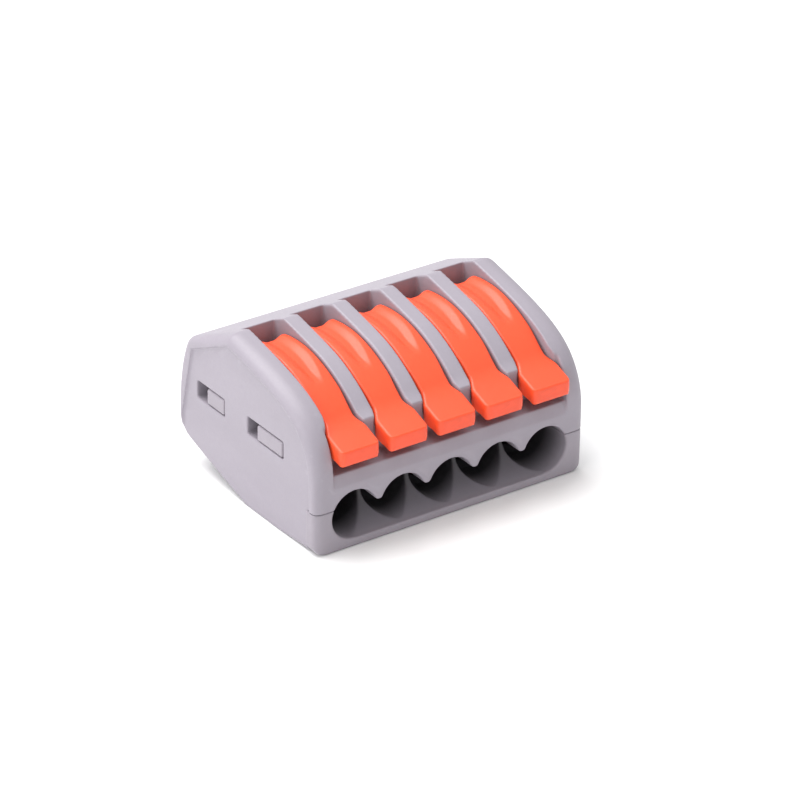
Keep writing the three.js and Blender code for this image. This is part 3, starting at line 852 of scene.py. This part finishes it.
def plastic(name, colour, rough, grain_mm, scatter, scatter_colour, painted_bore_shade=False):
    """Moulded plastic: faint flow marks, fine spark-eroded grain, edges lightened as a painted highlight
    and, when asked, painted shade deep in the wire entries.
    """
    nodes = Nodes(name)
    flow = nodes.noise(3.5, 4.0, (1, 0.4, 1))
    speckle = nodes.noise(0.35, 2.0)
    grain = nodes.noise(grain_mm, 2.0)
    tint = nodes.mixed(nodes.ranged(flow, "Fac", 0.3, 0.7, 0, 1), "Result",
                       shade(colour, 0.965), shade(colour, 1.03))
    specks = nodes.ranged(speckle, "Fac", 0.35, 0.75, 0, 0.35)
    flecked = nodes.mixed(specks, "Result", tint, shade(colour, 0.93))
    # Painted highlight: the plastic is made lighter along sharp edges, standing in for light catching them.
    surface = nodes.add("ShaderNodeNewGeometry")
    edge = nodes.ranged(surface, "Pointiness", 0.52, 0.62, 0, 0.4)
    painted_light_colour = nodes.mixed(edge, "Result", flecked, shade(colour, 1.12))
    # Painted shade: deep in the wire entries the plastic is darkened almost to black.
    if painted_bore_shade:
        painted_light_colour = nodes.mixed(painted_bore_shade_mask(nodes), "Value", painted_light_colour, shade(colour, BORE_SHADE))
    nodes.link(painted_light_colour, "Color", nodes.shader, "Base Color")
    gloss = nodes.ranged(grain, "Fac", 0.3, 0.7, rough - 0.05, rough + 0.06)
    nodes.link(gloss, "Result", nodes.shader, "Roughness")
    wave = nodes.bump(nodes.noise(1.4, 1.0), "Fac", 0.012)
    fine = nodes.bump(grain, "Fac", 0.006, wave)
    nodes.link(fine, "Normal", nodes.shader, "Normal")
    nodes.shader.inputs["IOR"].default_value = PLASTIC_IOR
    nodes.shader.inputs["Subsurface Weight"].default_value = scatter
    nodes.shader.inputs["Subsurface Radius"].default_value = scatter_colour
    nodes.shader.inputs["Subsurface Scale"].default_value = SCATTER_SCALE
    return nodes.material


def sheet_metal(name, colour, rough, stretch):
    """Rolled or drawn strip: fine lines along it, light mottling and duller patches."""
    nodes = Nodes(name)
    lines = nodes.noise(0.12, 3.0, stretch)
    patches = nodes.noise(1.6, 3.0)
    tint = nodes.mixed(nodes.ranged(patches, "Fac", 0.35, 0.7, 0, 1), "Result",
                       shade(colour, 0.86), shade(colour, 1.06))
    nodes.link(tint, "Color", nodes.shader, "Base Color")
    gloss = nodes.ranged(lines, "Fac", 0.25, 0.75, rough - 0.08, rough + 0.12)
    nodes.link(gloss, "Result", nodes.shader, "Roughness")
    nodes.link(nodes.bump(lines, "Fac", 0.004), "Normal", nodes.shader, "Normal")
    nodes.shader.inputs["Metallic"].default_value = 1
    return nodes.material


def floor_finish(colour):
    nodes = Nodes("floor_paper")
    fibre = nodes.noise(2.0, 4.0)
    tint = nodes.mixed(nodes.ranged(fibre, "Fac", 0.3, 0.7, 0, 1), "Result",
                       shade(colour, 0.99), shade(colour, 1))
    nodes.link(tint, "Color", nodes.shader, "Base Color")
    nodes.shader.inputs["Roughness"].default_value = 0.9
    nodes.shader.inputs["Specular IOR Level"].default_value = 0.1
    return nodes.material


# ---------------------------------------------------------------- settings
class ConnectorSizes(bpy.types.PropertyGroup):
    shell_skin: FloatProperty(
        name="Shell Skin", description="Step of the even skin over the housing and the base",
        default=0.0001, min=0.00005, unit="LENGTH", precision=5)
    lever_skin: FloatProperty(
        name="Lever Skin", description="Step of the even skin over a lever",
        default=0.00006, min=0.00003, unit="LENGTH", precision=5)
    seam: FloatProperty(
        name="Seam", description="Gap that shows between the housing and the base",
        default=0.000025, min=0, unit="LENGTH", precision=5)
    mouth_round: FloatProperty(
        name="Mouth Rounding", description="Rounding of the mouth of a wire entry",
        default=0.00018, min=0, unit="LENGTH", precision=5)
    lever_width: FloatProperty(
        name="Arm Width", description="Width of a lever's arm",
        default=0.0031, min=0.002, unit="LENGTH", precision=5)
    lever_edge: FloatProperty(
        name="Arm Edge", description="Rounding along the edges of a lever's back",
        default=0.00024, min=0.0001, unit="LENGTH", precision=5)
    groove_width: FloatProperty(
        name="Groove Width", description="Width of the finger groove in a lever's back",
        default=0.0023, min=0.0005, unit="LENGTH", precision=5)
    groove_depth: FloatProperty(
        name="Groove Depth", description="Depth of the finger groove in a lever's back",
        default=0.0003, min=0, unit="LENGTH", precision=5)


class ConnectorFinishes(bpy.types.PropertyGroup):
    housing: FloatVectorProperty(
        name="Housing", description="Colour of the housing's plastic", subtype="COLOR",
        size=3, min=0, max=1, default=(0.32, 0.29, 0.335))
    base: FloatVectorProperty(
        name="Base", description="Colour of the base's plastic", subtype="COLOR",
        size=3, min=0, max=1, default=(0.31, 0.28, 0.32))
    lever: FloatVectorProperty(
        name="Lever", description="Colour of the levers' plastic", subtype="COLOR",
        size=3, min=0, max=1, default=(0.88, 0.085, 0.025))
    spring: FloatVectorProperty(
        name="Spring", description="Colour of the spring steel", subtype="COLOR",
        size=3, min=0, max=1, default=(0.55, 0.56, 0.58))
    busbar: FloatVectorProperty(
        name="Busbar", description="Colour of the tinned copper", subtype="COLOR",
        size=3, min=0, max=1, default=(0.72, 0.69, 0.64))
    shell_roughness: FloatProperty(
        name="Shell Roughness", description="Roughness of the shell plastic", subtype="FACTOR",
        default=0.46, min=0.1, max=1)
    lever_roughness: FloatProperty(
        name="Lever Roughness", description="Roughness of the lever plastic", subtype="FACTOR",
        default=0.40, min=0.1, max=1)


class ConnectorStage(bpy.types.PropertyGroup):
    azimuth: FloatProperty(
        name="Azimuth", description="Turn of the camera round the connector, from straight ahead",
        default=radians(-35.27), subtype="ANGLE")
    elevation: FloatProperty(
        name="Elevation", description="Height of the camera as an angle", default=radians(28.35),
        subtype="ANGLE")
    roll: FloatProperty(
        name="Roll", description="Turn of the camera about its own axis", default=radians(-0.79),
        subtype="ANGLE")
    distance: FloatProperty(
        name="Distance", description="From the camera to the aim point", default=0.3773, unit="LENGTH")
    focal: FloatProperty(
        name="Focal Length", description="Focal length in millimetres", default=207.0, min=10)
    aim_right: FloatProperty(
        name="Aim Right", description="Shift of the aim point across the view",
        default=0.00135, unit="LENGTH", precision=5)
    aim_up: FloatProperty(
        name="Aim Up", description="Shift of the aim point up the view",
        default=-0.00078, unit="LENGTH", precision=5)
    floor: FloatVectorProperty(
        name="Floor", description="Colour of the floor", subtype="COLOR", size=3, min=0, max=1,
        default=(0.9, 0.9, 0.9))
    surroundings: FloatProperty(
        name="Surroundings", description="Brightness of the white room round the floor",
        default=0.75, min=0)
    key: FloatProperty(
        name="Key Light", description="Power of the large soft light above", default=1.1, min=0,
        subtype="POWER")
    fill: FloatProperty(
        name="Fill Light", description="Power of the soft light at the left", default=0.25, min=0,
        subtype="POWER")


# ---------------------------------------------------------------- operators
def shell_finish(name, colour, finishes):
    # The shells get painted shade deep inside their wire entries.
    return plastic(name, colour, finishes.shell_roughness, 0.16, 0.06, (1.0, 0.85, 0.9), painted_bore_shade=True)


class CONNECTOR_OT_housing(bpy.types.Operator):
    """Make the grey housing with its lever slots, wire entries, windows and sunk side panels"""
    bl_idname = "connector.housing"
    bl_label = "Housing"

    def execute(self, context):
        sizes = context.scene.connector_sizes
        finishes = context.scene.connector_finishes
        shell = thin(skin(housing_shape(sizes), sizes.shell_skin / MM, 3), HOUSING_TRIANGLES)
        finish_piece(shell, "housing_shell", "root", "housing",
                     shell_finish("housing_nylon", finishes.housing, finishes))
        return {"FINISHED"}


class CONNECTOR_OT_base(bpy.types.Operator):
    """Make the base with the lower halves of the wire entries and its snap-in tabs"""
    bl_idname = "connector.base"
    bl_label = "Base"

    def execute(self, context):
        sizes = context.scene.connector_sizes
        finishes = context.scene.connector_finishes
        shell = thin(skin(base_shape(sizes), sizes.shell_skin / MM, 5), BASE_TRIANGLES)
        finish_piece(shell, "base_shell", "root", "base",
                     shell_finish("base_nylon", finishes.base, finishes))
        return {"FINISHED"}


class CONNECTOR_OT_levers(bpy.types.Operator):
    """Make one orange lever for each pole, with its finger groove, flared tab, hub and trunnions"""
    bl_idname = "connector.levers"
    bl_label = "Levers"

    def execute(self, context):
        sizes = context.scene.connector_sizes
        finishes = context.scene.connector_finishes
        material = plastic("lever_nylon", finishes.lever, finishes.lever_roughness, 0.13, 0.12,
                           (1.0, 0.25, 0.1))
        master = lever_shape(sizes)
        for pole, x in zip(POLES, POLE_X):
            lever = bpy.data.objects.new("lever", master.data.copy())
            context.scene.collection.objects.link(lever)
            lever.data.transform(Matrix.Translation((x, 0, 0)))
            finish_piece(lever, f"lever_arm_{pole}", f"lever_{pole}", f"lever_{pole}",
                         material)
        discard(master)
        return {"FINISHED"}


class CONNECTOR_OT_springs(bpy.types.Operator):
    """Make each pole's clamp spring: the seat with its bend, and the cage that the lever opens"""
    bl_idname = "connector.springs"
    bl_label = "Clamp Springs"

    def execute(self, context):
        finishes = context.scene.connector_finishes
        steel = sheet_metal("spring_strip", finishes.spring, 0.3, (0.12, 1, 1))
        half = (CAGE_HIGH.x - CAGE_LOW.x) / 2
        cage_master = spring_cage_shape()
        for pole, x in zip(POLES, POLE_X):
            seat = work_object(strip_solid(spring_seat_outline(), half))
            seat.data.transform(Matrix.Translation((x, 0, 0)))
            finish_piece(seat, f"spring_bend_{pole}", None, f"clamp_spring_{pole}", steel)
            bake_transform(seat)
            cage = bpy.data.objects.new("cage", cage_master.data.copy())
            context.scene.collection.objects.link(cage)
            cage.data.transform(Matrix.Translation((x, 0, 0)))
            finish_piece(cage, f"spring_window_{pole}", f"cage_{pole}", f"spring_cage_{pole}",
                         steel)
        discard(cage_master)
        return {"FINISHED"}


class CONNECTOR_OT_busbar(bpy.types.Operator):
    """Make the tinned busbar with one tongue under each pole's spring window"""
    bl_idname = "connector.busbar"
    bl_label = "Busbar"

    def execute(self, context):
        finishes = context.scene.connector_finishes
        copper = sheet_metal("tinned_strip", finishes.busbar, 0.34, (1, 0.15, 1))
        finish_piece(busbar_shape(), "busbar_plate", "root", "busbar", copper)
        return {"FINISHED"}


# Size and place of each light and of the floor, in metres.
KEY_SIZE = (0.25, 0.25)
KEY_PLACE = (-0.06, 0.10, 0.28)
FILL_SIZE = (0.2, 0.15)
FILL_PLACE = (-0.26, -0.02, 0.12)
FLOOR_HALF = 1.5
AIM = (0, 0, 0.007)


def soft_light(name, power, size, place, aim):
    light = bpy.data.lights.new(name, "AREA")
    light.shape = "RECTANGLE"
    light.size = size[0]
    light.size_y = size[1]
    light.energy = power
    obj = bpy.data.objects.new(name, light)
    obj.location = place
    obj.rotation_euler = (Vector(aim) - Vector(place)).to_track_quat("-Z", "Y").to_euler()
    bpy.context.scene.collection.objects.link(obj)


class CONNECTOR_OT_stage(bpy.types.Operator):
    """Make the pale floor, the soft studio light and the camera"""
    bl_idname = "connector.stage"
    bl_label = "Stage"

    def execute(self, context):
        stage = context.scene.connector_stage
        context.scene.view_settings.view_transform = "Standard"
        floor = bmesh.new()
        bmesh.ops.create_grid(floor, x_segments=4, y_segments=4, size=FLOOR_HALF)
        data = bpy.data.meshes.new("floor")
        floor.to_mesh(data)
        floor.free()
        obj = bpy.data.objects.new("floor", data)
        data.materials.append(floor_finish(stage.floor))
        context.scene.collection.objects.link(obj)
        world = bpy.data.worlds.new("room")
        world.use_nodes = True
        world.node_tree.nodes["Background"].inputs["Color"].default_value = (1, 1, 1, 1)
        world.node_tree.nodes["Background"].inputs["Strength"].default_value = stage.surroundings
        context.scene.world = world
        middle = (CAD_BOX[0] + CAD_BOX[1]) / 2
        soft_light("key", stage.key, KEY_SIZE, KEY_PLACE, middle)
        soft_light("fill", stage.fill, FILL_SIZE, FILL_PLACE, middle)
        self.place_camera(context, stage)
        return {"FINISHED"}

    def place_camera(self, context, stage):
        turn, rise = stage.azimuth, stage.elevation
        forward = Vector((-sin(turn) * cos(rise), cos(turn) * cos(rise), -sin(rise)))
        right = Vector((cos(turn), sin(turn), 0))
        rolled = Matrix.Rotation(stage.roll, 3, forward)
        right = rolled @ right
        up = right.cross(forward)
        data = bpy.data.cameras.new("camera")
        data.lens = stage.focal
        data.clip_start = 0.01
        data.clip_end = 10
        camera = bpy.data.objects.new("camera", data)
        aim = Vector(AIM) + right * stage.aim_right + up * stage.aim_up
        camera.location = aim - forward * stage.distance
        camera.rotation_euler = Matrix((right, up, -forward)).transposed().to_euler()
        context.scene.collection.objects.link(camera)
        context.scene.camera = camera


class CONNECTOR_PT_panel(bpy.types.Panel):
    bl_idname = "CONNECTOR_PT_panel"
    bl_label = "Lever Wire Connector"
    bl_space_type = "VIEW_3D"
    bl_region_type = "UI"
    bl_category = "Connector"

    def draw(self, context):
        for group in (context.scene.connector_sizes, context.scene.connector_finishes,
                      context.scene.connector_stage):
            column = self.layout.column(align=True)
            for name in group.__annotations__:
                column.prop(group, name)
        for piece in PIECES:
            self.layout.operator(piece.bl_idname)


PIECES = (CONNECTOR_OT_stage, CONNECTOR_OT_housing, CONNECTOR_OT_base, CONNECTOR_OT_busbar,
          CONNECTOR_OT_springs, CONNECTOR_OT_levers)
CLASSES = (ConnectorSizes, ConnectorFinishes, ConnectorStage) + PIECES + (CONNECTOR_PT_panel,)


def register():
    for item in CLASSES:
        bpy.utils.register_class(item)
    bpy.types.Scene.connector_sizes = PointerProperty(type=ConnectorSizes)
    bpy.types.Scene.connector_finishes = PointerProperty(type=ConnectorFinishes)
    bpy.types.Scene.connector_stage = PointerProperty(type=ConnectorStage)


def unregister():
    del bpy.types.Scene.connector_stage
    del bpy.types.Scene.connector_finishes
    del bpy.types.Scene.connector_sizes
    for item in reversed(CLASSES):
        bpy.utils.unregister_class(item)


def main():
    register()
    bpy.ops.connector.stage()
    bpy.ops.connector.housing()
    bpy.ops.connector.base()
    bpy.ops.connector.busbar()
    bpy.ops.connector.springs()
    bpy.ops.connector.levers()


if __name__ == "__main__":
    main()
